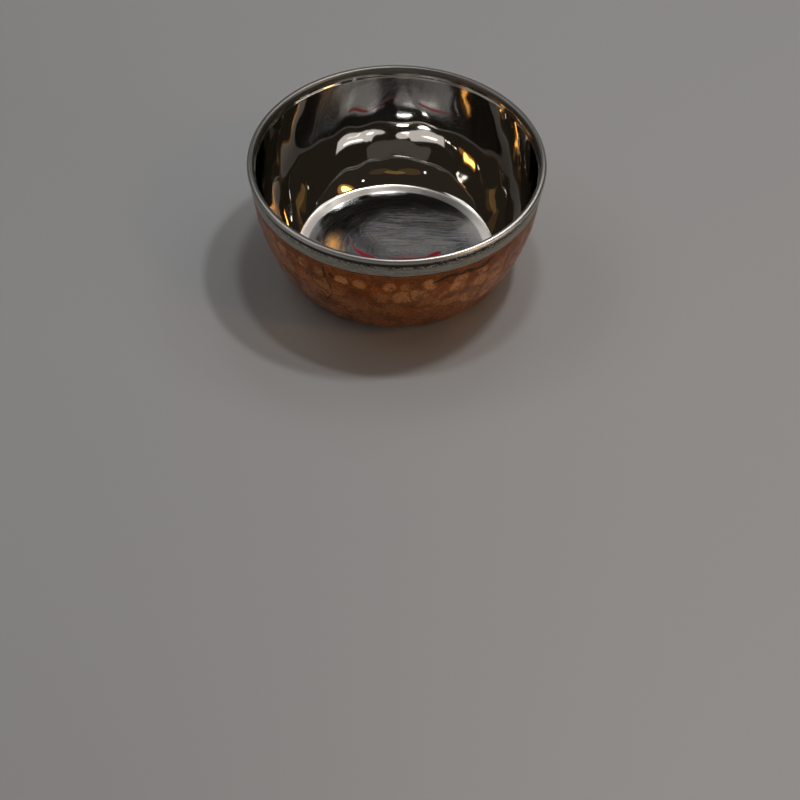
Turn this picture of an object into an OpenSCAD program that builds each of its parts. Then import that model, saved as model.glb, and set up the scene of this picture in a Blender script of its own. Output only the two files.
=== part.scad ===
// Small offering bowl with two walls: a hammered copper shell outside and a
// steel liner inside. The liner's lip is rolled into a bead over the shell's
// top edge and runs down the shell's outside as a flat skirt, which holds it.
// Every outline is a sheet's section, turned about the bowl's axis.

/* [Bowl] */
// Diameter across the rolled rim
rim_d = 88; // [76:1:110]
// Height from the table to the top of the rim
bowl_h = 38.5; // [30:0.5:52]
// Diameter of the flat that the bowl stands on
foot_d = 57; // [48:1:64]

/* [Copper shell] */
// Thickness of the copper sheet
copper_t = 0.38; // [0.3:0.02:0.6]
// Outside radius of the copper's turn from the foot to the side
copper_corner_r = 7.5; // [5.5:0.5:9]

/* [Steel liner] */
// Thickness of the steel sheet
steel_t = 0.38; // [0.3:0.02:0.6]
// Inside radius of the steel's turn from the base to the side
liner_corner_r = 2.2; // [1.4:0.1:3.6]
// Height of the wall's upright band, under the neck line
wall_band_h = 2; // [0.5:0.25:2.5]
// Depth of the neck line below the top of the rim
neck_h = 3.5; // [3:0.1:6]
// How far the neck stands out from the top of the wall
neck_step = 0.4; // [0.3:0.05:0.7]
// Radius of the neck line's two bends, at the middle of the sheet
neck_bend_r = 0.6; // [0.5:0.05:1]

/* [Rolled hem] */
// Width of the bead across, from the mouth to the outside
bead_w = 2.05; // [1.95:0.05:2.4]
// Height of the bead and its skirt together, down the outside of the bowl
hem_h = 6.3; // [5:0.1:8]
// Radius of the bend from the bead into the skirt, at the middle of the sheet
hem_bend_r = 0.6; // [0.5:0.05:0.9]

/* [Fits] */
// Gap between the copper base and the steel base above it
base_gap = 0.3; // [0.1:0.05:1]
// Clearance between the copper and the steel on each side of it, inside the hem
hem_clearance = 0.05; // [0.02:0.01:0.1]
// Gap between the copper's top edge and the height where the fold starts
edge_gap = 0.3; // [0.1:0.05:0.6]

/* [Hidden] */

// Share of the base gap that stays open where the two corners are closest
corner_gap_share = 0.5;
// Flats in a full turn, in a long curve and in a short bend
turn_steps = 180;
wall_steps = 14;
bend_steps = 7;

// Angles of a half turn and of an arc's lowest point
half_turn = 180;
lowest = -90;

// Bead: the middle of the sheet runs up the neck and round the fold
rim_r = rim_d / 2;
fold_r = (bead_w - steel_t) / 2;
fold_z = bowl_h - fold_r - steel_t / 2;
neck_r = rim_r - steel_t / 2 - 2 * fold_r;

// Neck line: two equal bends, one each way
neck_line_z = bowl_h - neck_h;
neck_turn = acos(1 - neck_step / (2 * neck_bend_r));
neck_top_z = neck_line_z + 2 * neck_bend_r * sin(neck_turn);
wall_top_r = neck_r - neck_step;

// Copper shell: a corner and a belly that meet smoothly, upright inside the skirt
hem_end_z = bowl_h - hem_h;
copper_r = neck_r + steel_t / 2 + hem_clearance + copper_t / 2;
copper_bend_r = copper_corner_r - copper_t / 2;
copper_flat_r = foot_d / 2;
copper_edge_z = fold_z - edge_gap;
belly_r = side_radius(copper_r - copper_flat_r, hem_end_z - copper_corner_r, copper_bend_r);
belly_tilt = side_tilt(hem_end_z - copper_corner_r, belly_r, copper_bend_r);

// Skirt: the fold turns on under the bead until the sheet lies on the copper
skirt_r = copper_r + copper_t / 2 + hem_clearance + steel_t / 2;
skirt_step = neck_r + 2 * fold_r - skirt_r;
skirt_turn = acos(1 - skirt_step / (fold_r + hem_bend_r));
skirt_top_z = fold_z - (fold_r + hem_bend_r) * sin(skirt_turn);

// Steel liner: its corner lies inside the copper's, with a gap between them
liner_bend_r = liner_corner_r + steel_t / 2;
liner_base_z = copper_t + base_gap + steel_t / 2;
liner_corner_z = liner_base_z + liner_bend_r;
corner_room = copper_corner_r - copper_t - liner_corner_r - steel_t - base_gap * corner_gap_share;
liner_flat_r = copper_flat_r + sqrt(pow(corner_room, 2) - pow(copper_corner_r - liner_corner_z, 2));
wall_arc_z = neck_line_z - wall_band_h;
wall_r = side_radius(wall_top_r - liner_flat_r, wall_arc_z - liner_corner_z, liner_bend_r);
wall_tilt = side_tilt(wall_arc_z - liner_corner_z, wall_r, liner_bend_r);

// Radius of the arc that is upright at its top and runs smoothly into a
// corner, which lies inward by span and down by drop from that top
function side_radius(span, drop, corner_r) =
    (pow(span, 2) + pow(drop, 2) - pow(corner_r, 2)) / (2 * (span - corner_r));

// Angle from upright at which that arc meets the corner
function side_tilt(drop, side_r, corner_r) = asin(drop / (side_r - corner_r));

// Points along an arc. A curve that goes on from the last one skips their shared point
function arc(centre, radius, from, to, steps, skip = 0) =
    [for (i = [skip : steps])
        let (angle = from + (to - from) * i / steps)
        centre + radius * [cos(angle), sin(angle)]];

// One face of the copper, out from the middle of the sheet
function copper_face(out) = concat(
    [[0, copper_t / 2 - out]],
    arc([copper_flat_r, copper_corner_r], copper_bend_r + out,
        lowest, -belly_tilt, bend_steps),
    arc([copper_r - belly_r, hem_end_z], belly_r + out,
        -belly_tilt, 0, wall_steps, 1),
    [[copper_r + out, copper_edge_z]]);

// One face of the steel, out from the middle of the sheet towards the copper
function liner_face(out) = concat(
    [[0, liner_base_z - out]],
    arc([liner_flat_r, liner_corner_z], liner_bend_r + out,
        lowest, -wall_tilt, bend_steps),
    arc([wall_top_r - wall_r, wall_arc_z], wall_r + out,
        -wall_tilt, 0, wall_steps, 1),
    arc([wall_top_r + neck_bend_r, neck_line_z], neck_bend_r - out,
        half_turn, half_turn - neck_turn, bend_steps),
    arc([neck_r - neck_bend_r, neck_top_z], neck_bend_r + out,
        -neck_turn, 0, bend_steps, 1),
    arc([neck_r + fold_r, fold_z], fold_r - out,
        half_turn, -skirt_turn, 3 * bend_steps),
    arc([skirt_r + hem_bend_r, skirt_top_z], hem_bend_r + out,
        half_turn - skirt_turn, half_turn, bend_steps, 1),
    [[skirt_r - out, hem_end_z]]);

function reversed(points) = [for (i = [len(points) - 1 : -1 : 0]) points[i]];

// A sheet of metal turned about the axis, from its outer and its inner face
module turned_sheet(outer, inner) {
    rotate_extrude($fn = turn_steps)
        polygon(concat(outer, reversed(inner)));
}

// Hammered outer shell: flat foot, round belly, upright band inside the skirt
module copper_shell() {
    color([0.72, 0.42, 0.26])
        turned_sheet(copper_face(copper_t / 2), copper_face(-copper_t / 2));
}

// Polished liner with its lip rolled over the copper's edge
module steel_liner() {
    color([0.76, 0.76, 0.74])
        turned_sheet(liner_face(steel_t / 2), liner_face(-steel_t / 2));
}

copper_shell();
steel_liner();
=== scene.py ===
import math

import bpy
import numpy as np
from mathutils import Matrix, Vector


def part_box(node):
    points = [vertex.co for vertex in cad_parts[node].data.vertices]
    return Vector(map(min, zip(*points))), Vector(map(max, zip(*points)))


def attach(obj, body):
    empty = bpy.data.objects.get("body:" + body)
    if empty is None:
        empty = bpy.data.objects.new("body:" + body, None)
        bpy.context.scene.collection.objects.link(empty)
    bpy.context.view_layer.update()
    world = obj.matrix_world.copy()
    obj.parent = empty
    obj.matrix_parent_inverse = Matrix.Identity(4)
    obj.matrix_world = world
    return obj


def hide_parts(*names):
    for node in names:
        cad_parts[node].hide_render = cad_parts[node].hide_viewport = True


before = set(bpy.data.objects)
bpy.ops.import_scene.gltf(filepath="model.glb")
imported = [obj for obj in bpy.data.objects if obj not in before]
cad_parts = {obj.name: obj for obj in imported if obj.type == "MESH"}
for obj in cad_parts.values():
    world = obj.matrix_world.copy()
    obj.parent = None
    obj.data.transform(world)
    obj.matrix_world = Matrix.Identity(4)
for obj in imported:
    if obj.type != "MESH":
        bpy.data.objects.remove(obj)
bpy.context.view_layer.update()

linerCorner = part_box("steel_liner")[1]
mm = 0.001
bowlTop = linerCorner[2] / mm  # height of the rim, in millimetres
bowlRim = linerCorner[0] / mm  # radius of the rim
print("frame loaded: rim radius %.2f mm, height %.2f mm" % (bowlRim, bowlTop))


# A sheet's section is a line of (radius, height, heading in degrees), in millimetres

def goStraight(line, length, steps=1):
    radius, height, heading = line[-1]
    angle = math.radians(heading)
    for step in range(1, steps + 1):
        way = length * step / steps
        line.append((radius + way * math.cos(angle), height + way * math.sin(angle), heading))


# A positive turn goes to the left
def goRound(line, bend, turn, steps):
    radius, height, heading = line[-1]
    side = 1 if turn > 0 else -1
    start = math.radians(heading)
    centre = (radius - side * bend * math.sin(start), height + side * bend * math.cos(start))
    for step in range(1, steps + 1):
        angle = start + math.radians(turn) * step / steps
        line.append((centre[0] + side * bend * math.sin(angle),
                     centre[1] - side * bend * math.cos(angle),
                     math.degrees(angle)))


# The face on one side of the sheet: to the right of the line where distance is positive
def faceOf(line, distance):
    face = []
    for radius, height, heading in line:
        angle = math.radians(heading)
        face.append((max(radius + distance * math.sin(angle), 0.0),
                     height - distance * math.cos(angle)))
    return np.array(face)


# Half circle that rounds off the sheet's edge, from one face to the other
def roundedEdge(point, heading, thickness, steps, leaving):
    angle = math.radians(heading)
    along = np.array([math.cos(angle), math.sin(angle)]) * (1 if leaving else -1)
    right = np.array([math.sin(angle), -math.cos(angle)]) * (1 if leaving else -1)
    edge = []
    for step in range(1, steps):
        turn = math.pi * step / steps
        out = right * math.cos(turn) + along * math.sin(turn)
        edge.append(np.array(point) + thickness / 2 * out)
    return np.array(edge)


# Way along the sheet from its first row to each row
def wayAlong(face):
    return np.concatenate([[0], np.cumsum(np.hypot(*np.diff(face, axis=0).T))])


# Direction out of the seen face at each row, as its radius and height parts
def outOfFace(line):
    headings = np.radians([point[2] for point in line])
    return np.sin(headings)[:, None], -np.cos(headings)[:, None]


# Rows kept of the hidden face: the first and last few, and one in so many between them
def fewerRows(count, first, last, every):
    return [row for row in range(count) if row < first or row >= count - last or row % every == 0]


# Joins rows into one closed outline. A plain list of rows is the same all round.
def joinRows(parts, turns):
    return np.vstack([part if part.ndim == 2 else np.repeat(part[:, None], turns, axis=1)
                      for part in parts])


# Turns a closed outline about the bowl's axis. Each row may have its own radii and
# heights round the bowl. A row on the axis becomes one point.
def turnedMesh(name, radii, heights):
    rows, turns = radii.shape
    angles = np.linspace(0, 2 * math.pi, turns, endpoint=False)
    onAxis = radii.max(axis=1) < 1e-6  # mm
    points, starts = [], []
    for row in range(rows):
        starts.append(len(points))
        if onAxis[row]:
            points.append((0.0, 0.0, float(heights[row].mean()) * mm))
            continue
        xs = radii[row] * np.cos(angles) * mm
        ys = radii[row] * np.sin(angles) * mm
        points.extend(zip(xs.tolist(), ys.tolist(), (heights[row] * mm).tolist()))
    faces = []
    for row in range(rows):
        after = (row + 1) % rows
        here, there = starts[row], starts[after]
        if onAxis[row] and onAxis[after]:
            continue
        for turn in range(turns):
            nextTurn = (turn + 1) % turns
            if onAxis[row]:
                faces.append((here, there + nextTurn, there + turn))
            elif onAxis[after]:
                faces.append((here + turn, here + nextTurn, there))
            else:
                faces.append((here + turn, here + nextTurn, there + nextTurn, there + turn))
    mesh = bpy.data.meshes.new(name)
    mesh.from_pydata(points, [], faces)
    mesh.validate()
    mesh.polygons.foreach_set("use_smooth", [True] * len(mesh.polygons))
    thing = bpy.data.objects.new(name, mesh)
    bpy.context.scene.collection.objects.link(thing)
    return thing, onAxis


# Keeps a value for each point of the mesh, which the material reads by its name
def keepValue(thing, name, grid, onAxis):
    values = []
    for row in range(grid.shape[0]):
        values.extend([float(grid[row].mean())] if onAxis[row] else grid[row].tolist())
    attribute = thing.data.attributes.new(name, "FLOAT", "POINT")
    attribute.data.foreach_set("value", np.array(values, np.float32))


# Smooth waves round the bowl and along the sheet, between about -1 and 1
def gentleWaves(waves, along, angles):
    random = np.random.default_rng(waves["seed"])
    around = 2 * math.pi * waves["radius"]
    fewest = max(1, int(around / waves["longest"]))
    most = int(around / waves["shortest"])
    total = np.zeros((len(along), len(angles)))
    for _ in range(waves["count"]):
        turns = random.integers(fewest, most + 1)
        slope = random.uniform(-1, 1) * math.pi / waves["shortest"]
        shift = random.uniform(0, 2 * math.pi)
        total += np.cos(turns * angles[None, :] + slope * along[:, None] + shift)
    usual = math.sqrt(waves["count"] / 2)  # height of such a sum
    crest = 1.8  # its highest crests, in usual heights
    return total / usual / crest


# Polished liner, from the skirt's lower end over the bead and down to the base's middle

linerLooks = {
    "sheet": 0.38,           # thickness of the steel, mm
    "beadWidth": 2.05,       # across the rolled bead
    "hemHeight": 6.3,        # bead and skirt together
    "skirtBend": 0.6,
    "skirtStep": 0.81,       # how far the skirt lies inside the bead
    "neckDepth": 3.5,        # neck line below the rim
    "neckStep": 0.4,
    "neckBend": 0.6,
    "baseHeight": 0.87,      # middle of the sheet
    "cornerInside": 2.2,
    "wallStart": -0.5,       # lean of the wall under the neck line, degrees
    "wallLean": 0.4068,      # degrees more per mm of wall
    "wallCurl": 0.02474,     # degrees more per square mm
    "baseSag": 0.10,         # how far the middle of the base lies below its edge
    "baseLimit": 2.0,        # rows lower than this belong to the base
    # Waves left by spinning, in mm: depth, lengths round the bowl at a radius, and how
    # they fade out under the neck line and above the corner
    "waviness": 0.036,
    "waves": {"seed": 11, "radius": 40, "shortest": 8, "longest": 32, "count": 34},
    "neckFade": 3.0,
    "cornerFade": 5.0,
    "cornerPlain": 0.4,      # without waves, above the base
    # Rows of the mesh along each stretch, and columns round the bowl
    "turns": 448,
    "skirtRows": 8,
    "beadRows": 30,
    "collarRows": 4,
    "neckRows": 6,
    "wallRow": 0.3,          # mm from row to row
    "cornerRows": 14,
    "edgeRows": 5,
    "hiddenRows": (2, 59, 3),  # kept of the hidden face: first, last, one in so many
    # Rings of the base, as shares of its radius
    "baseRings": (0.97, 0.93, 0.87, 0.8, 0.72, 0.64, 0.56, 0.48,
                  0.4, 0.32, 0.24, 0.17, 0.11, 0.06, 0.025, 0.0),
}


# Lean of the wall at a way below the neck line, in degrees
def leanAt(looks, way):
    return looks["wallStart"] + looks["wallLean"] * way + looks["wallCurl"] * way * way


def linerLine(looks):
    fold = (looks["beadWidth"] - looks["sheet"]) / 2
    foldHeight = bowlTop - fold - looks["sheet"] / 2
    skirtRadius = bowlRim - looks["skirtStep"] - looks["sheet"] / 2
    curl = math.degrees(math.acos(1 - looks["skirtStep"] / (fold + looks["skirtBend"])))
    skirtTop = foldHeight - (fold + looks["skirtBend"]) * math.sin(math.radians(curl))
    hemEnd = bowlTop - looks["hemHeight"]
    line = [(skirtRadius, hemEnd, 90.0)]
    goStraight(line, skirtTop - hemEnd, looks["skirtRows"])
    goRound(line, looks["skirtBend"], -curl, looks["skirtRows"])
    goRound(line, fold, 180 + curl, looks["beadRows"])
    neckTurn = math.degrees(math.acos(1 - looks["neckStep"] / (2 * looks["neckBend"])))
    neckLine = bowlTop - looks["neckDepth"]
    neckTop = neckLine + 2 * looks["neckBend"] * math.sin(math.radians(neckTurn))
    goStraight(line, line[-1][1] - neckTop, looks["collarRows"])
    goRound(line, looks["neckBend"], -neckTurn, looks["neckRows"])
    goRound(line, looks["neckBend"], neckTurn - looks["wallStart"], looks["neckRows"])
    # The wall leans in more and more until its corner can round off into the base
    corner = looks["cornerInside"] + looks["sheet"] / 2
    way = 0.0
    while way < 2 * bowlTop:
        drop = corner * (1 - math.sin(math.radians(leanAt(looks, way))))
        if line[-1][1] - drop <= looks["baseHeight"]:
            break
        goStraight(line, looks["wallRow"])
        way += looks["wallRow"]
        line[-1] = (line[-1][0], line[-1][1], 270 - leanAt(looks, way))
    goRound(line, corner, 180 - line[-1][2], looks["cornerRows"])
    baseEdge, baseLevel = line[-1][:2]
    line += [(baseEdge * share, baseLevel, 180.0) for share in looks["baseRings"]]
    return line, baseEdge


def buildLiner(looks):
    line, baseEdge = linerLine(looks)
    seen = faceOf(line, looks["sheet"] / 2)
    back = faceOf(line, -looks["sheet"] / 2)[::-1]
    edge = roundedEdge(line[0][:2], line[0][2], looks["sheet"], looks["edgeRows"], False)
    angles = np.linspace(0, 2 * math.pi, looks["turns"], endpoint=False)

    # The base sinks a little towards its middle
    def sunk(face):
        inBase = np.clip(1 - face[:, 0] / baseEdge, 0, 1) * (face[:, 1] < looks["baseLimit"])
        return looks["baseSag"] * (1 - (1 - inBase) ** 2)

    # Waves only on the wall
    heights = seen[:, 1]
    neckLine = bowlTop - looks["neckDepth"]
    onWall = (seen[:, 0] < bowlRim - looks["beadWidth"]) & (heights < neckLine)
    underNeck = np.clip((neckLine - heights) / looks["neckFade"], 0, 1)
    waveStart = looks["baseHeight"] + looks["cornerPlain"]
    overCorner = np.clip((heights - waveStart) / looks["cornerFade"], 0, 1)
    fade = np.where(onWall, underNeck * overCorner, 0)[:, None]
    waves = gentleWaves(looks["waves"], wayAlong(seen), angles) * fade * looks["waviness"]
    outRadius, outHeight = outOfFace(line)
    radii = seen[:, :1] + outRadius * waves
    levels = seen[:, 1:] + outHeight * waves - sunk(seen)[:, None]
    backLevels = back[:, 1] - sunk(back)
    keep = fewerRows(len(back), *looks["hiddenRows"])
    allRadii = joinRows([edge[:, 0], radii, back[keep, 0]], looks["turns"])
    allLevels = joinRows([edge[:, 1], levels, backLevels[keep]], looks["turns"])
    thing = turnedMesh("polishedLiner", np.maximum(allRadii, 0), allLevels)[0]
    print("liner: %d rows, base edge %.2f mm" % (len(allRadii), baseEdge))
    return thing


liner = buildLiner(linerLooks)


# Hammered shell, from the middle of the foot out and up to the edge inside the hem

shellLooks = {
    "sheet": 0.38,           # thickness of the copper, mm
    "footRadius": 28.5,
    "corner": 7.5,           # outside radius of the turn from foot to side
    "bellyRadius": 55.815,   # middle of the sheet
    "topEdge": 37.175,
    "hemEnd": 32.2,
    # Rows of the mesh along each stretch, and columns round the bowl
    "turns": 960,
    "footRows": 12,
    "rowStep": 0.34,         # mm from row to row on the side
    "topRows": 10,
    "edgeRows": 5,
    "hiddenRows": (3, 1, 4),   # as in the liner
    "sideStart": 0.05,       # rows higher than this belong to the side
    # Hammer marks
    "seed": 5,
    "blend": 0.008,          # softness of the ridges between marks, mm
    "deepest": 0.7,          # mm, keeps the sum of the marks within bounds
    "markSpan": 1.45,        # how far a mark acts, in its own radii
    "markLean": 0.16,        # how aslant it is struck
    "turnSpread": 60,        # spread of the marks' places: degrees over a row, and mm
    "riseSpread": 0.55,
    "sizeRange": (0.86, 1.16),
    "depthRange": (0.75, 1.25),
    "markRoom": 0.72,        # room that a placed mark keeps free, in radii of both
    "ridgeWidth": 0.034,     # of the patina's line between marks, as a depth
    "shallow": 0.03,         # no such line round marks shallower than this
    "placedAbove": 25.5,     # height over which the marks show as clear discs
    "sideFade": (31.4, 2.2, 1.2),  # end under the hem, fade there and over the foot
    # The sheet's own unevenness
    "unevenness": 0.05,
    "waves": {"seed": 8, "radius": 40, "shortest": 16, "longest": 60, "count": 16},
    "wavesFade": (31.5, 4.0, 2.0),
    # What the material reads where there is no mark or stroke
    "unmarked": {"markTone": 0.5, "markReach": 1.5, "markClear": 0.0, "markRidge": 0.0,
                 "strokes": 0.0},
    # Rows of hammer marks: height, radius, spacing round the bowl, depth
    "markRows": ((27.0, 2.3, 6.3, 0.10), (22.6, 3.6, 6.0, 0.24), (17.4, 4.3, 6.8, 0.33),
                 (12.2, 4.4, 6.8, 0.34), (7.4, 4.2, 6.6, 0.30), (3.4, 3.6, 6.2, 0.20)),
    # Marks with a place of their own: angle, height, radius, depth
    "placedMarks": (
        (-134.1, 27.0, 2.1, 0.10), (-128.1, 27.7, 2.2, 0.10), (-103.5, 27.0, 2.3, 0.11),
        (-91.8, 27.0, 2.2, 0.11), (-85.1, 26.6, 2.2, 0.11), (-76.2, 27.0, 2.7, 0.11),
        (-138.7, 21.2, 3.8, 0.32), (-132.5, 14.7, 4.2, 0.37), (-111.8, 22.2, 3.7, 0.26),
        (-110.8, 14.7, 4.4, 0.34), (-89.6, 15.5, 4.4, 0.34), (-98.8, 16.2, 4.0, 0.30),
        (-45.1, 22.5, 4.2, 0.37), (-46.8, 14.6, 4.4, 0.36), (-34.3, 22.4, 4.2, 0.37)),
    # Dark strokes: how deep, half width, then their points as angle and height. The
    # first fourteen make the long crease under the skirt.
    "strokes": (
        (0.10, 0.30, ((-75.0, 27.8), (-73.3, 28.0))), (0.10, 0.48, ((-73.3, 28.0), (-72.0, 28.7))),
        (0.10, 0.70, ((-71.2, 29.0), (-69.6, 29.4))), (0.10, 0.40, ((-69.6, 29.4), (-68.0, 29.3))),
        (0.10, 0.80, ((-67.4, 29.5), (-66.0, 29.3))), (0.10, 0.40, ((-66.0, 29.3), (-62.6, 28.7))),
        (0.10, 0.60, ((-63.4, 28.7), (-61.3, 29.6))), (0.10, 0.45, ((-61.3, 29.6), (-59.6, 29.1))),
        (0.10, 0.90, ((-59.6, 29.1), (-58.0, 28.8))), (0.10, 0.50, ((-58.0, 28.8), (-55.6, 28.6))),
        (0.10, 0.80, ((-55.6, 28.6), (-54.2, 28.9))), (0.10, 1.10, ((-53.8, 28.7), (-52.2, 29.1))),
        (0.08, 0.60, ((-51.8, 29.0), (-50.9, 30.0))), (0.08, 0.38, ((-50.9, 30.0), (-48.0, 30.4))),
        (0.03, 0.55, ((-118.6, 28.6), (-118.0, 27.2), (-118.2, 26.2))),
        (0.00, 0.30, ((-118.3, 29.9), (-118.6, 28.6))),
        (0.03, 0.60, ((-115.8, 28.0), (-114.6, 27.4))),
        (0.02, 0.26, ((-117.4, 24.8), (-116.5, 22.9), (-115.9, 21.2))),
        (0.02, 0.28, ((-121.3, 17.9), (-120.2, 16.2), (-119.3, 14.2))),
        (0.00, 0.24, ((-119.3, 14.2), (-118.0, 16.0), (-116.0, 18.6))),
        (0.00, 0.28, ((-128.6, 15.2), (-127.6, 14.4), (-126.6, 14.3))),
        (0.00, 0.40, ((-127.5, 23.6), (-127.2, 23.3))),
        (0.00, 0.26, ((-124.5, 25.6), (-121.8, 23.9))),
        (0.00, 0.26, ((134.0, 26.5), (128.5, 24.0), (127.0, 21.0))),
        (0.05, 0.40, ((38.0, 29.0), (43.0, 28.4), (49.0, 28.9))),
    ),
    "strokeSteps": 14,       # spots from one point to the next
    "strokeSpan": 4,         # how far a spot acts, in half widths
}


def shellLine(looks):
    half = looks["sheet"] / 2
    line = [(0.0, half, 0.0)]
    goStraight(line, looks["footRadius"], looks["footRows"])
    bend = looks["corner"] - half
    rise = (looks["hemEnd"] - looks["corner"]) / (looks["bellyRadius"] - bend)
    tilt = math.asin(rise)
    cornerTurn = 90 - math.degrees(tilt)
    goRound(line, bend, cornerTurn, int(math.radians(cornerTurn) * bend / looks["rowStep"]))
    bellyRows = int(tilt * looks["bellyRadius"] / looks["rowStep"])
    goRound(line, looks["bellyRadius"], math.degrees(tilt), bellyRows)
    goStraight(line, looks["topEdge"] - line[-1][1], looks["topRows"])
    return line


# The placed marks, and the rows of marks wherever they leave room
def hammerMarks(looks, face, random):
    marks = list(looks["placedMarks"])
    side = face[looks["footRows"]:]
    for height, size, spacing, depth in looks["markRows"]:
        radius = float(np.interp(height, side[:, 1], side[:, 0]))
        count = int(2 * math.pi * radius / spacing)
        start = random.uniform(0, 360)
        for k in range(count):
            turn = random.normal(0, looks["turnSpread"] / count)
            angle = (start + 360 * k / count + turn) % 360 - 180
            level = height + random.normal(0, looks["riseSpread"])
            scale = random.uniform(*looks["sizeRange"])
            taken = any(math.hypot((angle - a) * math.pi / 180 * radius, level - h)
                        < (s + size) * looks["markRoom"] for a, h, s, _ in looks["placedMarks"])
            if not taken:
                deep = depth * scale * random.uniform(*looks["depthRange"])
                marks.append((angle, level, size * scale, deep))
    return marks


# Way along the shell up to a height on its side
def wayUpTo(looks, height, face, way):
    side = face[:, 1] > looks["sideStart"]
    return float(np.interp(height, face[side, 1], way[side]))


# Way round the bowl from an angle to each column, at each row's radius
def wayRound(degrees, angle, radii):
    return np.radians((degrees[None, :] - angle + 180) % 360 - 180) * radii[:, None]


# Dents of all the marks, and in grids each mark's tone and reach, the clear ones and
# the ridges between them
def strikeMarks(looks, marks, face, way, degrees, grids, random):
    tone, reach, clear = grids["markTone"], grids["markReach"], grids["markClear"]
    summed = np.ones(tone.shape)
    untouched = 9.0  # mm, above any mark's field
    best = np.full(tone.shape, untouched)
    second = best.copy()
    for angle, height, size, depth in marks:
        place = wayUpTo(looks, height, face, way)
        rows = np.where(np.abs(way - place) < size * looks["markSpan"])[0]
        across = wayRound(degrees, angle, face[rows, 0])
        up = (way[rows] - place)[:, None]
        distance = np.hypot(across, up) / size
        leanAcross, leanUp = random.normal(0, looks["markLean"] * depth, 2)
        field = -depth * (1 - distance ** 2) + (leanAcross * across + leanUp * up) / size
        deep = np.clip(field, -looks["deepest"], looks["deepest"])
        summed[rows] += np.exp(-deep / looks["blend"])
        shade = random.uniform(0, 1)
        lower = field < best[rows]
        farthest = looks["unmarked"]["markReach"]
        second[rows] = np.where(lower, best[rows], np.minimum(second[rows], field))
        tone[rows] = np.where(lower, shade, tone[rows])
        reach[rows] = np.where(lower, np.clip(distance, 0, farthest), reach[rows])
        clear[rows] = np.where(lower, float(height > looks["placedAbove"]), clear[rows])
        best[rows] = np.minimum(best[rows], field)
    nearRidge = np.exp(-np.clip(second - best, 0, 1) / looks["ridgeWidth"])
    marked = np.clip(1.2 - best / looks["shallow"], 0, 1)  # 0 where no mark lies
    grids["markRidge"][:] = nearRidge * marked
    return -looks["blend"] * np.log(summed)


# Cuts the strokes into the dents, and marks them in grids
def cutStrokes(looks, face, way, degrees, grids, dents):
    for depth, half, points in looks["strokes"]:
        stroke = np.zeros_like(dents)
        for (angle, height), (nextAngle, nextHeight) in zip(points, points[1:]):
            for share in np.linspace(0, 1, looks["strokeSteps"]):
                turn = angle + (nextAngle - angle) * share
                place = wayUpTo(looks, height + (nextHeight - height) * share, face, way)
                rows = np.where(np.abs(way - place) < half * looks["strokeSpan"])[0]
                across = wayRound(degrees, turn, face[rows, 0])
                up = (way[rows] - place)[:, None]
                spot = np.exp(-(across ** 2 + up ** 2) / half ** 2)
                stroke[rows] = np.maximum(stroke[rows], spot)
        dents -= depth * stroke
        np.maximum(grids["strokes"], stroke, out=grids["strokes"])


# 1 on the side, down to 0 at its end under the hem and at the foot
def sideFade(heights, end, endFade, footFade):
    fade = np.clip((end - heights) / endFade, 0, 1) * np.clip(heights / footFade, 0, 1)
    return fade[:, None]


def buildShell(looks):
    random = np.random.default_rng(looks["seed"])
    line = shellLine(looks)
    seen = faceOf(line, looks["sheet"] / 2)
    back = faceOf(line, -looks["sheet"] / 2)[::-1]
    edge = roundedEdge(line[-1][:2], line[-1][2], looks["sheet"], looks["edgeRows"], True)
    way, turns = wayAlong(seen), looks["turns"]
    angles = np.linspace(0, 2 * math.pi, turns, endpoint=False)
    degrees = np.degrees(angles)
    grids = {name: np.full((len(line), turns), value)
             for name, value in looks["unmarked"].items()}
    marks = hammerMarks(looks, seen, random)
    dents = strikeMarks(looks, marks, seen, way, degrees, grids, random)
    # Smooth under the hem and on the flat foot
    dents *= sideFade(seen[:, 1], *looks["sideFade"])
    uneven = looks["unevenness"] * (0.5 + 0.5 * gentleWaves(looks["waves"], way, angles))
    dents -= uneven * sideFade(seen[:, 1], *looks["wavesFade"])
    cutStrokes(looks, seen, way, degrees, grids, dents)
    outRadius, outHeight = outOfFace(line)
    radii = seen[:, :1] + outRadius * dents
    levels = np.maximum(seen[:, 1:] + outHeight * dents, 0.0)
    keep = fewerRows(len(back), *looks["hiddenRows"])
    allRadii = joinRows([radii, edge[:, 0], back[keep, 0]], turns)
    allLevels = joinRows([levels, edge[:, 1], back[keep, 1]], turns)
    allRadii[[0, -1]] = 0
    thing, onAxis = turnedMesh("hammeredShell", np.maximum(allRadii, 0), allLevels)
    extra = len(allRadii) - len(line)
    for name, grid in grids.items():
        rest = np.full((extra, turns), looks["unmarked"][name])
        keepValue(thing, name, np.vstack([grid, rest]), onAxis)
    print("shell: %d hammer marks, %d rows" % (len(marks), len(allRadii)))
    return thing


shell = buildShell(shellLooks)


# Shader helpers. Those that add nodes take the node tree first. addNode gives all of
# its node's outputs, the others one.

def addNode(tree, kind, inputs=None, **options):
    node = tree.nodes.new("ShaderNode" + kind)
    for key, value in options.items():
        setattr(node, key, value)
    for key, value in (inputs or {}).items():
        if isinstance(value, bpy.types.NodeSocket):
            tree.links.new(value, node.inputs[key])
        else:
            node.inputs[key].default_value = value
    return node.outputs


def calc(tree, operation, first, second=None, clamp=False):
    inputs = {0: first} if second is None else {0: first, 1: second}
    return addNode(tree, "Math", inputs, operation=operation, use_clamp=clamp)[0]


def plus(tree, first, second, clamp=False):
    return calc(tree, "ADD", first, second, clamp)


def minus(tree, first, second):
    return calc(tree, "SUBTRACT", first, second)


def times(tree, *values):
    product = values[0]
    for value in values[1:]:
        product = calc(tree, "MULTIPLY", product, value)
    return product


def highest(tree, *values, clamp=False):
    top = values[0]
    for value in values[1:]:
        top = calc(tree, "MAXIMUM", top, value, clamp)
    return top


def inverse(tree, value):
    return minus(tree, 1.0, value)


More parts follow.
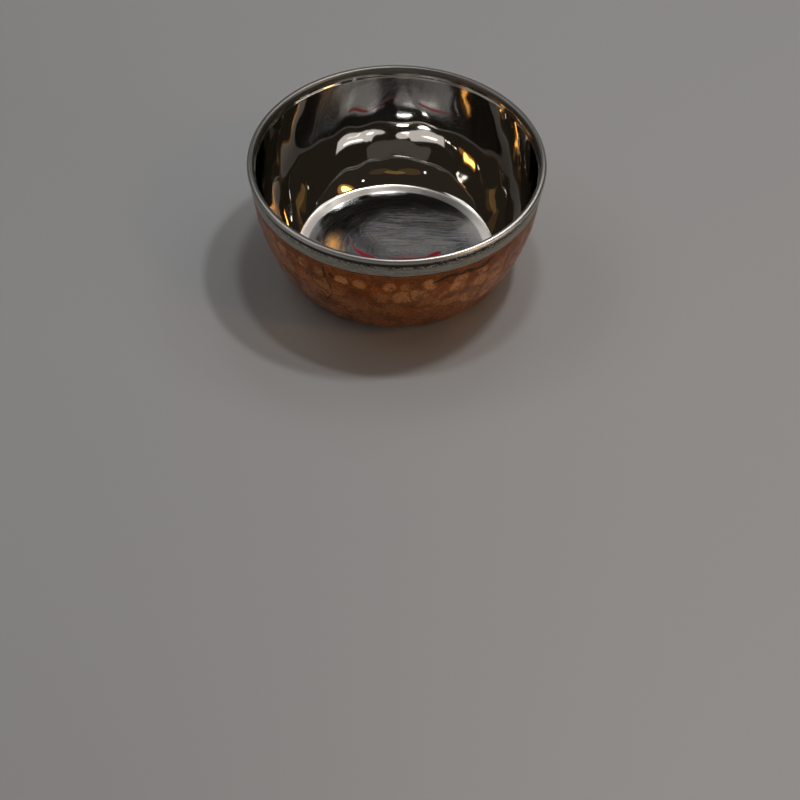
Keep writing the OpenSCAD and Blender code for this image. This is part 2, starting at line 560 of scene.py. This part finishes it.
# Rises from 0 to 1 as the value goes from low to high
def fadeIn(tree, value, low, high):
    return addNode(tree, "MapRange", {"Value": value, "From Min": low, "From Max": high},
                   interpolation_type="SMOOTHSTEP")["Result"]


def fadeOut(tree, value, low, high):
    return inverse(tree, fadeIn(tree, value, low, high))


def between(tree, value, low, high, soft):
    return times(tree, fadeIn(tree, value, low - soft, low + soft),
                 fadeOut(tree, value, high - soft, high + soft))


def mixColour(tree, factor, first, second):
    return addNode(tree, "Mix", {0: factor, 6: first, 7: second}, data_type="RGBA")[2]


def mixValue(tree, factor, first, second):
    return addNode(tree, "Mix", {0: factor, 2: first, 3: second}, data_type="FLOAT")[0]


def noise(tree, vector, scale, detail=4.0, rough=0.55):
    return addNode(tree, "TexNoise", {"Vector": vector, "Scale": scale, "Detail": detail,
                                      "Roughness": rough})["Fac"]


def newGroup(name, ins, outs):
    group = bpy.data.node_groups.new(name, "ShaderNodeTree")
    for label, kind, value in ins:
        socket = group.interface.new_socket(name=label, in_out="INPUT",
                                            socket_type="NodeSocket" + kind)
        if value is not None:
            socket.default_value = value
    for label, kind in outs:
        group.interface.new_socket(name=label, in_out="OUTPUT", socket_type="NodeSocket" + kind)
    given = group.nodes.new("NodeGroupInput").outputs
    return group, given, group.nodes.new("NodeGroupOutput").inputs


# Where a point lies on the bowl, in millimetres
def makePlaceGroup():
    group, _, results = newGroup("placeOnBowl", [], [
        ("Place", "Vector"), ("X", "Float"), ("Y", "Float"), ("Height", "Float"),
        ("Radius", "Float")])
    coordinate = addNode(group, "TexCoord")["Object"]
    place = addNode(group, "VectorMath", {0: coordinate, 3: 1 / mm}, operation="SCALE")[0]
    x, y, height = addNode(group, "SeparateXYZ", {0: place})
    radius = calc(group, "SQRT", plus(group, times(group, x, x), times(group, y, y)))
    for label, socket in (("Place", place), ("X", x), ("Y", y), ("Height", height),
                          ("Radius", radius)):
        group.links.new(socket, results[label])
    return group


# Patches with soft or hard edges, from fractal noise
def makePatchGroup():
    group, given, results = newGroup("patches", [
        ("Vector", "Vector", None), ("Size", "Float", 5.0), ("Amount", "Float", 0.5),
        ("Softness", "Float", 0.1), ("Detail", "Float", 5.0)], [("Mask", "Float")])
    scale = calc(group, "DIVIDE", 1.0, given["Size"])
    field = noise(group, given["Vector"], scale, given["Detail"], 0.6)
    edge = minus(group, 0.75, times(group, given["Amount"], 0.5))
    mask = fadeIn(group, field, minus(group, edge, given["Softness"]),
                  plus(group, edge, given["Softness"]))
    group.links.new(mask, results["Mask"])
    return group


# Fine lines that keep to one value of Across and wander along the bowl
def makeLineGroup():
    group, given, results = newGroup("fineLines", [
        ("Across", "Float", 0.0), ("X", "Float", 0.0), ("Y", "Float", 0.0),
        ("Pitch", "Float", 0.5), ("Length", "Float", 15.0)], [("Lines", "Float")])
    across = calc(group, "DIVIDE", given["Across"], given["Pitch"])
    alongX = calc(group, "DIVIDE", given["X"], given["Length"])
    alongY = calc(group, "DIVIDE", given["Y"], given["Length"])
    vector = addNode(group, "CombineXYZ", {0: across, 1: alongX, 2: alongY})[0]
    group.links.new(noise(group, vector, 1.0, 3.0, 0.65), results["Lines"])
    return group


placeGroup = makePlaceGroup()
patchGroup = makePatchGroup()
lineGroup = makeLineGroup()


# In the next three, spot is what placeOnBowl puts out
def patches(tree, spot, size, amount, soft, detail=5.0):
    inputs = {"Vector": spot["Place"], "Size": size, "Amount": amount, "Softness": soft,
              "Detail": detail}
    return addNode(tree, "Group", inputs, node_tree=patchGroup)["Mask"]


def lines(tree, spot, across, pitch, length):
    inputs = {"Across": across, "X": spot["X"], "Y": spot["Y"], "Pitch": pitch, "Length": length}
    return addNode(tree, "Group", inputs, node_tree=lineGroup)["Lines"]


# How far a point lies from a centre, 1 on an ellipse of those half axes
def ellipse(tree, spot, centre, size, power=2.0):
    parts = []
    for axis, middle, half in zip("XY", centre, size):
        off = calc(tree, "ABSOLUTE", minus(tree, spot[axis], middle))
        parts.append(calc(tree, "POWER", calc(tree, "DIVIDE", off, half), power))
    return calc(tree, "POWER", plus(tree, *parts), 1 / power)


def newMaterial(name):
    material = bpy.data.materials.new(name)
    material.use_nodes = True
    tree = material.node_tree
    tree.nodes.clear()
    surface = tree.nodes.new("ShaderNodeBsdfPrincipled")
    output = tree.nodes.new("ShaderNodeOutputMaterial")
    tree.links.new(surface.outputs[0], output.inputs[0])
    return material, tree, surface.inputs


def addBump(tree, surface, relief, depth, strength=0.4):
    bump = addNode(tree, "Bump", {"Strength": strength, "Distance": depth, "Height": relief})
    tree.links.new(bump["Normal"], surface["Normal"])


# Polished steel. Where one finish passes into the next is given as from and to, in mm.

steelLooks = {
    "mirror": (0.66, 0.64, 0.61, 1),
    # base steel darkened as painted shade for the dim reflection it shows
    "baseShade": (0.175, 0.182, 0.195, 1),
    "ovalPale": (0.285, 0.29, 0.30, 1),
    "ovalWarm": (0.275, 0.262, 0.236, 1),
    # painted glint colour for bright lines on the brushed oval
    "glintPaint": (0.80, 0.82, 0.86, 1),
    "skirt": (0.46, 0.445, 0.385, 1),
    "skirtStreak": (0.15, 0.145, 0.12, 1),
    # black of the dirt on the skirt and of the painted shade with dirt in the crease under the
    # bead
    "dirtAndCreviceShade": (0.022, 0.018, 0.013, 1),
    "bead": (0.46, 0.45, 0.43, 1),
    # painted shade for the bead's inner half
    "beadInnerShade": (0.17, 0.165, 0.155, 1),
    "residue": (0.21, 0.003, 0.013, 1),
    "specular": 0.2,
    "wallRough": 0.04,
    "baseRough": 0.14,
    "ovalRough": 0.31,
    "bandRough": 0.34,
    "skirtRough": 0.42,
    "beadRough": 0.40,
    "beadRubbed": 0.30,
    "soiledAndShadedRough": 0.55,
    "bumpDepth": 0.00003,            # metres
    "baseTop": (1.0, 1.3),           # height
    "baseEdge": (29.3, 30.0),        # radius
    "bandEdges": (27.4, 30.4),       # radius of the paler band round the base, a painted highlight of its corner
    "bandTop": (1.9, 2.6),           # height
    "outside": (42.5, 42.7),         # radius
    "skirtTop": (2.0, 1.6),          # below the rim
    "creviceShadeAndDirt": (2.9, 1.02),          # below the rim: black line of painted shade with dirt in the crease under the bead
    "beadLower": (2.2, 1.8),         # below the rim
    "beadInside": (41.6, 42.0),      # radius
    "beadCrown": (42.95, 43.45),     # radius where the painted shade on the bead's inner half gives way to its paler outer half
    "dirtFade": (4.6, 2.6),          # below the rim
    "rubbedX": (4.0, 22.0),          # where hands rub the bead and skirt, at the right front
    "rubbedY": (-14.0, 6.0),
    "bandStrength": 0.8,
    "ovalCentre": (7.0, 9.2),
    "ovalSize": (21.5, 12.0),
    "ovalFade": (0.52, 1.16),        # in shares of its size
    "ringPitch": 0.75,               # between the fine lines, like the next two
    "sweepPitch": 0.8,
    "brushPitch": 0.42,
    "sweepSize": 13.0,
    "strokeLength": 9.0,
    "glintLength": 3.2,
    "satinCentre": (-17.0, 1.0),
    "satinSize": (9.0, 9.0),
    "satinRough": 0.10,              # added to the base's
    # Red residue: an arc round the oval's near side, heavier at its left end, and a
    # blob shaped like a leaf at its right end
    "arcCentre": (0.8, 9.0),
    "arcSize": (15.0, 11.9),         # half axes
    "arcWidth": 0.018,               # half its width, in shares of its size
    "arcHeavier": 0.050,             # added to that at the heavy end
    "arcHeavyX": (-12.4, -6.0),
    "arcRight": (9.0, 11.0),         # where it ends, x
    "arcFar": (5.0, 8.0),            # where it ends, y
    "leafCentre": (11.7, -0.9),
    "leafLength": 3.0,
    "leafTurn": (0.87, 0.50),        # cosine and sine
}


# Heights of places that are given by how far below the rim they lie
def underRim(depths):
    return [bowlTop - depth for depth in depths]


# The arc, a smear inside it along the brush strokes, and the blob
def residueMask(tree, spot, looks, waver, strokes):
    x, y = spot["X"], spot["Y"]
    arcForm = ellipse(tree, spot, looks["arcCentre"], looks["arcSize"], 3.0)
    arcWay = plus(tree, arcForm, times(tree, waver, 0.06))
    heavy = times(tree, between(tree, x, *looks["arcHeavyX"], 1.4), fadeOut(tree, y, 1.5, 5.0))
    width = plus(tree, looks["arcWidth"], times(tree, heavy, looks["arcHeavier"]))
    off = calc(tree, "ABSOLUTE", minus(tree, arcWay, 1.0))
    arc = calc(tree, "SUBTRACT", 1.0, calc(tree, "DIVIDE", off, width), clamp=True)
    arc = times(tree, fadeIn(tree, arc, 0.0, 0.6), fadeOut(tree, y, *looks["arcFar"]),
                fadeOut(tree, x, *looks["arcRight"]))
    worn = fadeIn(tree, noise(tree, spot["Place"], 0.5, 5.0, 0.65), 0.34, 0.56)
    arc = times(tree, arc, highest(tree, worn, heavy))
    smear = times(tree, between(tree, arcWay, 0.86, 1.0, 0.05), fadeOut(tree, y, -1.0, 3.0),
                  fadeIn(tree, strokes, 0.46, 0.62), 0.5)
    fromX = minus(tree, x, looks["leafCentre"][0])
    fromY = minus(tree, y, looks["leafCentre"][1])
    cosine, sine = looks["leafTurn"]
    along = plus(tree, times(tree, fromX, cosine), times(tree, fromY, sine))
    along = calc(tree, "DIVIDE", along, looks["leafLength"])
    aside = minus(tree, times(tree, fromY, cosine), times(tree, fromX, sine))
    leaf = plus(tree, times(tree, along, along), times(tree, aside, aside))
    leaf = fadeOut(tree, plus(tree, leaf, waver), 0.6, 1.1)
    return highest(tree, arc, smear, leaf)


# Black line in the crevice under the bead, painted shade there with dirt in it, and dirt that
# spreads over the skirt. On the rubbed side its line is broken and the skirt is dirtier.
def dirtAndCreviceShadeMask(tree, spot, looks, skirt, creviceShadeAndDirt, rubbed):
    grit = patches(tree, spot, 0.5, 0.50, 0.06, 3.0)
    grime = patches(tree, spot, 3.0, 0.5, 0.12)
    upper = fadeIn(tree, spot["Height"], *underRim(looks["dirtFade"]))
    spread = times(tree, upper, plus(tree, 0.6, times(tree, rubbed, 0.5)))
    spread = plus(tree, plus(tree, 0.16, spread), times(tree, grime, upper, 0.4))
    gaps = fadeIn(tree, noise(tree, spot["Place"], 0.9), 0.40, 0.52)
    brokenLine = times(tree, creviceShadeAndDirt, mixValue(tree, rubbed, 0.94, gaps))
    return highest(tree, times(tree, skirt, grit, spread), brokenLine, clamp=True)


def makeSteel(looks):
    material, tree, surface = newMaterial("polishedSteel")
    spot = addNode(tree, "Group", node_tree=placeGroup)
    place, x, y, height, radius = (spot[k] for k in ("Place", "X", "Y", "Height", "Radius"))

    # Where each finish lies
    base = times(tree, fadeOut(tree, height, *looks["baseTop"]),
                 fadeOut(tree, radius, *looks["baseEdge"]))
    edgeHighlight = times(tree, between(tree, radius, *looks["bandEdges"], 0.5),
                     fadeOut(tree, height, *looks["bandTop"]))
    outside = fadeIn(tree, radius, *looks["outside"])
    skirt = times(tree, outside, fadeOut(tree, height, *underRim(looks["skirtTop"])))
    creviceShadeAndDirt = times(tree, outside, between(tree, height, *underRim(looks["creviceShadeAndDirt"]), 0.10))
    bead = times(tree, fadeIn(tree, height, *underRim(looks["beadLower"])),
                 fadeIn(tree, radius, *looks["beadInside"]))
    rubbed = times(tree, fadeIn(tree, x, *looks["rubbedX"]), fadeOut(tree, y, *looks["rubbedY"]))

    # Base: turned rings outside in steel darkened as painted shade, a paler brushed oval in the
    # middle
    waver = minus(tree, noise(tree, place, 0.14), 0.5)
    ovalForm = ellipse(tree, spot, looks["ovalCentre"], looks["ovalSize"])
    ovalWay = plus(tree, ovalForm, times(tree, waver, 0.55))
    oval = times(tree, base, fadeOut(tree, ovalWay, *looks["ovalFade"]))
    length = looks["strokeLength"]
    rings = lines(tree, spot, radius, looks["ringPitch"], length)
    sweepWay = times(tree, ovalForm, looks["sweepSize"])
    sweeps = lines(tree, spot, sweepWay, looks["sweepPitch"], length)
    wavering = plus(tree, y, times(tree, waver, 2.0))
    strokes = lines(tree, spot, wavering, looks["brushPitch"], length)
    brushed = mixValue(tree, fadeIn(tree, ovalWay, 0.55, 1.0), strokes, sweeps)
    # Painted glints: short bright lines along the oval's brush strokes
    glints = lines(tree, spot, y, looks["brushPitch"], looks["glintLength"])
    glint = times(tree, oval, fadeIn(tree, glints, 0.66, 0.74))
    stretched = addNode(tree, "VectorMath", {0: place, 1: (0.5, 1.3, 1.0)},
                        operation="MULTIPLY")[0]
    cloud = fadeIn(tree, noise(tree, stretched, 0.16, 5.0, 0.62), 0.42, 0.62)
    ringTone = fadeIn(tree, rings, 0.36, 0.64)
    brushTone = fadeIn(tree, brushed, 0.38, 0.62)
    pale = mixColour(tree, cloud, looks["ovalPale"], looks["ovalWarm"])
    pale = mixColour(tree, times(tree, inverse(tree, brushTone), 0.5), pale, looks["baseShade"])
    dark = mixColour(tree, times(tree, ringTone, 0.40), looks["baseShade"], looks["ovalPale"])
    ground = mixColour(tree, oval, dark, pale)

    residue = times(tree, base, residueMask(tree, spot, looks, waver, strokes))
    dirtAndCreviceShade = dirtAndCreviceShadeMask(tree, spot, looks, skirt, creviceShadeAndDirt, rubbed)
    soiledAndShaded = highest(tree, residue, dirtAndCreviceShade)

    colour = mixColour(tree, base, looks["mirror"], ground)
    # painted glints on the oval
    colour = mixColour(tree, glint, colour, looks["glintPaint"])
    # Painted highlight: the band round the base's edge is mixed towards the bright wall steel
    band = times(tree, edgeHighlight, looks["bandStrength"])
    colour = mixColour(tree, band, colour, looks["mirror"])
    # The bead's inner half gets a darker colour as painted shade, its outer half the paler bead
    # colour; on the rubbed part the painted shade is lifted towards bare steel
    crown = fadeIn(tree, radius, *looks["beadCrown"])
    beadColour = mixColour(tree, crown, looks["beadInnerShade"], looks["bead"])
    beadColour = mixColour(tree, times(tree, rubbed, 0.6), beadColour, looks["mirror"])
    colour = mixColour(tree, bead, colour, beadColour)
    streaks = lines(tree, spot, height, 0.34, 4.0)
    skirtTone = times(tree, fadeOut(tree, streaks, 0.34, 0.60), 0.5)
    skirtColour = mixColour(tree, skirtTone, looks["skirt"], looks["skirtStreak"])
    colour = mixColour(tree, skirt, colour, skirtColour)
    # dirt on the skirt, and the crease's black line of painted shade with dirt
    colour = mixColour(tree, dirtAndCreviceShade, colour, looks["dirtAndCreviceShade"])
    colour = mixColour(tree, residue, colour, looks["residue"])
    tree.links.new(colour, surface["Base Color"])
    surface["Specular IOR Level"].default_value = looks["specular"]

    satin = ellipse(tree, spot, looks["satinCentre"], looks["satinSize"])
    satin = times(tree, fadeOut(tree, satin, 0.5, 1.1), looks["satinRough"])
    rough = plus(tree, looks["baseRough"] - 0.03, times(tree, ringTone, 0.07))
    rough = plus(tree, rough, satin)
    ovalRough = plus(tree, looks["ovalRough"] - 0.08, times(tree, brushTone, 0.16))
    rough = mixValue(tree, base, looks["wallRough"], mixValue(tree, oval, rough, ovalRough))
    rough = mixValue(tree, edgeHighlight, rough, looks["bandRough"])
    beadRough = mixValue(tree, rubbed, looks["beadRough"], looks["beadRubbed"])
    rough = mixValue(tree, bead, rough, beadRough)
    skirtRough = plus(tree, looks["skirtRough"] - 0.06, times(tree, streaks, 0.12))
    rough = mixValue(tree, skirt, rough, skirtRough)
    rough = mixValue(tree, soiledAndShaded, rough, looks["soiledAndShadedRough"])
    tree.links.new(rough, surface["Roughness"])

    # The brushed oval, its painted glints, dirt with the crease's painted shade, and the worn
    # skirt look less like bare metal
    film = highest(tree, times(tree, oval, 0.10), times(tree, glint, 0.55),
                   times(tree, soiledAndShaded, 0.9), times(tree, skirt, 0.15))
    tree.links.new(inverse(tree, film), surface["Metallic"])

    aslant = plus(tree, times(tree, x, 0.8), times(tree, y, 0.6))
    scrapes = lines(tree, spot, aslant, 0.5, 3.0)
    pitted = plus(tree, streaks, noise(tree, place, 2.6, 3.0))
    relief = plus(tree, times(tree, oval, brushed, 0.6), times(tree, base, rings, 0.15))
    relief = plus(tree, relief, times(tree, skirt, pitted))
    relief = plus(tree, relief, times(tree, bead, rubbed, scrapes, 3.0))
    addBump(tree, surface, relief, looks["bumpDepth"])
    return material


# Hammered copper

copperLooks = {
    "disc": (0.96, 0.42, 0.155, 1),
    "orange": (0.58, 0.150, 0.024, 1),
    "pink": (0.86, 0.345, 0.152, 1),
    "brown": (0.18, 0.055, 0.014, 1),
    "olive": (0.035, 0.024, 0.011, 1),
    "rough": 0.23,
    "bumpDepth": 0.00007,            # metres
    "pinkToOrange": (23.0, 32.0),    # height, mm
    "discEdge": (0.60, 1.05),        # in radii of the mark
    "clearDisc": 0.32,               # how much more the clear discs stand out
    "patchSize": 6.0,
    "patchAmount": 0.46,
    "patchStrength": 0.66,
    "upperBand": (26.5, 29.0),       # height of the streaky band under the skirt
    "hemShade": (31.45, 33.0),       # height of the dark line of painted shade at the skirt's edge
    "sidesMiddle": -3.5,             # x of the middle between the sides browned as painted shade
    "sideShade": (25.0, 37.0),           # how far from it they begin
    "sidesStrength": 0.70,
    "strokeStrength": 0.88,
    "speckStrength": 0.6,
}


def makeCopper(looks):
    material, tree, surface = newMaterial("hammeredCopper")
    spot = addNode(tree, "Group", node_tree=placeGroup)
    place, x, height = (spot[k] for k in ("Place", "X", "Height"))
    # The values that the shell's mesh keeps, in their order there
    tone, reach, clear, ridge, drawn = (addNode(tree, "Attribute", attribute_name=name)["Fac"]
                                        for name in shellLooks["unmarked"])

    # From pink low on the side to orange under the skirt, each mark with its own tone
    blur = times(tree, minus(tree, noise(tree, place, 0.8), 0.5), 0.5)
    inside = fadeOut(tree, plus(tree, reach, blur), *looks["discEdge"])
    clouds = times(tree, noise(tree, place, 0.17, 5.0, 0.6), 14.0)
    upper = fadeIn(tree, plus(tree, height, clouds), *looks["pinkToOrange"])
    ground = mixColour(tree, upper, looks["pink"], looks["orange"])
    toned = times(tree, inside, plus(tree, tone, 0.02))
    ground = mixColour(tree, toned, ground, looks["disc"])
    cleared = times(tree, inside, clear, looks["clearDisc"])
    ground = mixColour(tree, cleared, ground, looks["disc"])

    # Brown patina between the marks, in streaks under the skirt and in clouds, and painted shade
    # on the left and right sides
    halo = times(tree, clear, fadeIn(tree, reach, 0.85, 1.1), 0.75)
    broken = fadeIn(tree, noise(tree, place, 0.45), 0.30, 0.55)
    streaks = fadeIn(tree, lines(tree, spot, height, 0.7, 9.0), 0.44, 0.62)
    band = times(tree, fadeIn(tree, height, *looks["upperBand"]), streaks, 0.6)
    stains = patches(tree, spot, looks["patchSize"], looks["patchAmount"], 0.08)
    # Painted shade, browner towards the left and right sides of the bowl along x
    sideways = calc(tree, "ABSOLUTE", minus(tree, x, looks["sidesMiddle"]))
    sideShade = times(tree, fadeIn(tree, sideways, *looks["sideShade"]),
                  fadeIn(tree, noise(tree, place, 0.22), 0.30, 0.54),
                  looks["sidesStrength"])
    patinaAndSideShade = highest(tree, times(tree, highest(tree, ridge, halo), broken), band,
                     times(tree, stains, looks["patchStrength"]), sideShade)
    grain = fadeIn(tree, noise(tree, place, 2.0, 4.0, 0.65), 0.44, 0.66)
    patinaAndSideShade = plus(tree, patinaAndSideShade, times(tree, grain, 0.30), clamp=True)
    colour = mixColour(tree, patinaAndSideShade, ground, looks["brown"])

    # Dark strokes with ragged edges, specks, and a dark line of painted shade at the skirt's edge
    rag = times(tree, minus(tree, noise(tree, place, 1.3, 5.0, 0.65), 0.5), 1.3)
    ragged = times(tree, fadeIn(tree, plus(tree, drawn, rag), 0.38, 0.62),
                   fadeIn(tree, drawn, 0.03, 0.15), looks["strokeStrength"])
    specks = times(tree, patches(tree, spot, 0.6, 0.30, 0.04, 3.0), looks["speckStrength"])
    shade = times(tree, between(tree, height, *looks["hemShade"], 0.12), 0.8)
    dark = highest(tree, ragged, specks, shade)
    colour = mixColour(tree, dark, colour, looks["olive"])
    tree.links.new(colour, surface["Base Color"])

    dull = highest(tree, patinaAndSideShade, dark)
    rough = plus(tree, looks["rough"] - 0.06, times(tree, noise(tree, place, 0.35), 0.14))
    rough = plus(tree, rough, times(tree, dull, 0.16), clamp=True)
    tree.links.new(rough, surface["Roughness"])
    tree.links.new(inverse(tree, times(tree, dull, 0.4)), surface["Metallic"])
    relief = plus(tree, times(tree, noise(tree, place, 1.1, 5.0, 0.6), 0.7),
                  times(tree, noise(tree, place, 4.0, 3.0), 0.3))
    addBump(tree, surface, relief, looks["bumpDepth"])
    return material


liner.data.materials.append(makeSteel(steelLooks))
shell.data.materials.append(makeCopper(copperLooks))
print("materials made")

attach(liner, "root")
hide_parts("steel_liner")
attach(shell, "root")
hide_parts("copper_shell")


# Floor, light and camera

studioLooks = {
    "floorColour": (0.33, 0.34, 0.35, 1),
    "floorRough": 0.45,
    "floorSpecular": 0.4,
    "floorRings": (0.12, 0.3, 0.8, 3.0),  # radii, metres
    "floorCorners": 96,
    "worldColour": (1.0, 0.80, 0.58, 1),
    "worldStrength": 0.028,
    "target": (0.0, 0.0, 0.03),
    "away": 0.8,          # distance of the softboxes
    "wattsPerSquare": 4,  # watts per square metre of softbox for a brightness of 1
    "roundUnder": 20,     # softboxes that look narrower than this are round
    # Softboxes: azimuth from the far side round by the right, elevation, how wide and
    # how high they look (all in degrees), brightness, colour
    "softboxes": (
        ("overFar", 18, 80.5, 7, 3.6, 50.0, (1.0, 0.99, 0.97)),
        ("rightTop", 60, 70, 6, 4, 79.0, (1.0, 0.99, 0.98)),
        ("farLeftBox", -47, 55, 13, 4, 2.8, (0.96, 0.98, 1.0)),
        ("leftTube", -74, 46, 15, 2.5, 2.8, (0.95, 0.98, 1.0)),
        ("farRightTube", 17, 58, 9, 4, 3.2, (1.0, 1.0, 1.0)),
        ("rightBox", 54, 50, 18, 4, 2.8, (1.0, 1.0, 1.0)),
        ("leftSlit", -84, 58, 3, 10, 0.9, (0.97, 1.0, 1.0)),
        ("warmLamp", 119, 43, 6.5, 14, 6.2, (1.0, 0.45, 0.09)),
        ("warmGlow", 118, 43, 13, 20, 0.26, (1.0, 0.47, 0.10)),
        ("goldPatch", 178, 38, 16, 4, 0.10, (1.0, 0.58, 0.16)),
        ("amberRight", 163, 36, 19.9, 7, 0.026, (1.0, 0.58, 0.20)),
        ("amberLeft", -167, 36, 19.9, 8, 0.032, (1.0, 0.55, 0.14)),
        ("nearSpot", -150, 33, 2.5, 3, 1.5, (1.0, 0.98, 0.94)),
        ("rightSpot", 98, 50, 1.2, 1.2, 8.0, (1.0, 0.95, 0.85)),
        ("lowRightSpot", 107, 24, 2.4, 1.4, 3.0, (1.0, 0.97, 0.9)),
        ("lowSpot", 142, 42, 2, 2, 4.0, (1.0, 0.95, 0.88)),
        ("leftPanel", -68, 53, 48, 23, 0.84, (1.0, 0.98, 0.97)),
        ("midPanel", 8, 50, 16, 18, 0.66, (1.0, 0.97, 0.96)),
        ("rightPanel", 54, 53, 46, 23, 0.78, (1.0, 0.97, 0.95)),
        ("lowPanel", 0, 29, 88, 20, 0.07, (1.0, 0.95, 0.85)),
        ("frontBox", -165, 12, 80, 12, 0.42, (1.0, 0.95, 0.90)),
        ("rightLowBox", 116, 14, 38, 10, 2.5, (1.0, 0.90, 0.80)),
        ("leftLowBox", -112, 15, 36, 10, 0.9, (1.0, 0.97, 0.95)),
    ),
}


def addFloor(looks):
    mesh = bpy.data.meshes.new("floor")
    rings, corners = looks["floorRings"], looks["floorCorners"]
    angles = [2 * math.pi * k / corners for k in range(corners)]
    points = [(0.0, 0.0, 0.0)]
    for size in rings:
        points += [(size * math.cos(angle), size * math.sin(angle), 0.0) for angle in angles]
    faces = [(0, 1 + k, 1 + (k + 1) % corners) for k in range(corners)]
    for level in range(len(rings) - 1):
        start = 1 + level * corners
        after = start + corners
        for k in range(corners):
            following = (k + 1) % corners
            faces.append((start + k, after + k, after + following, start + following))
    mesh.from_pydata(points, [], faces)
    floor = bpy.data.objects.new("floor", mesh)
    bpy.context.scene.collection.objects.link(floor)
    material, _, surface = newMaterial("paleFloor")
    surface["Base Color"].default_value = looks["floorColour"]
    surface["Roughness"].default_value = looks["floorRough"]
    surface["Specular IOR Level"].default_value = looks["floorSpecular"]
    mesh.materials.append(material)


def addSoftbox(name, azimuth, elevation, wide, high, brightness, colour, looks):
    turn, rise = math.radians(azimuth), math.radians(elevation)
    lamp = bpy.data.lights.new(name, "AREA")
    lamp.shape = "ELLIPSE" if wide < looks["roundUnder"] else "RECTANGLE"
    lamp.size = 2 * looks["away"] * math.tan(math.radians(wide) / 2)
    lamp.size_y = 2 * looks["away"] * math.tan(math.radians(high) / 2)
    lamp.energy = brightness * looks["wattsPerSquare"] * lamp.size * lamp.size_y
    lamp.color = colour
    thing = bpy.data.objects.new(name, lamp)
    bpy.context.scene.collection.objects.link(thing)
    away = Vector((math.sin(turn) * math.cos(rise), math.cos(turn) * math.cos(rise),
                   math.sin(rise)))
    thing.location = Vector(looks["target"]) + away * looks["away"]
    thing.rotation_euler = away.to_track_quat("Z", "Y").to_euler()
    thing.visible_camera = False


def addWorld(looks):
    world = bpy.data.worlds.new("studio")
    bpy.context.scene.world = world
    world.use_nodes = True
    shade = world.node_tree.nodes["Background"]
    shade.inputs["Color"].default_value = looks["worldColour"]
    shade.inputs["Strength"].default_value = looks["worldStrength"]


cameraLooks = {
    "place": (2.214, -472.119, 448.344),  # mm
    "pitch": 47.4646,     # degrees down
    "roll": -1.0644,
    "lens": 95.371,       # mm
    "sensor": 36.0,       # mm
    "nearest": 0.01,      # metres
}


def addCamera(looks):
    camera = bpy.data.cameras.new("camera")
    camera.sensor_width = looks["sensor"]
    camera.lens = looks["lens"]
    camera.clip_start = looks["nearest"]
    thing = bpy.data.objects.new("camera", camera)
    bpy.context.scene.collection.objects.link(thing)
    pitch, roll = math.radians(looks["pitch"]), math.radians(looks["roll"])
    ahead = Vector((0, math.cos(pitch), -math.sin(pitch)))
    upward = Vector((0, math.sin(pitch), math.cos(pitch)))
    right = Vector((1, 0, 0))
    across = right * math.cos(roll) - upward * math.sin(roll)
    above = right * math.sin(roll) + upward * math.cos(roll)
    frameOf = Matrix((across, above, -ahead)).transposed().to_4x4()
    thing.matrix_world = Matrix.Translation(Vector(looks["place"]) * mm) @ frameOf
    bpy.context.scene.camera = thing


addFloor(studioLooks)
for box in studioLooks["softboxes"]:
    addSoftbox(*box, studioLooks)
addWorld(studioLooks)
addCamera(cameraLooks)
bpy.context.scene.view_settings.view_transform = "Standard"
print("floor, light and camera placed")
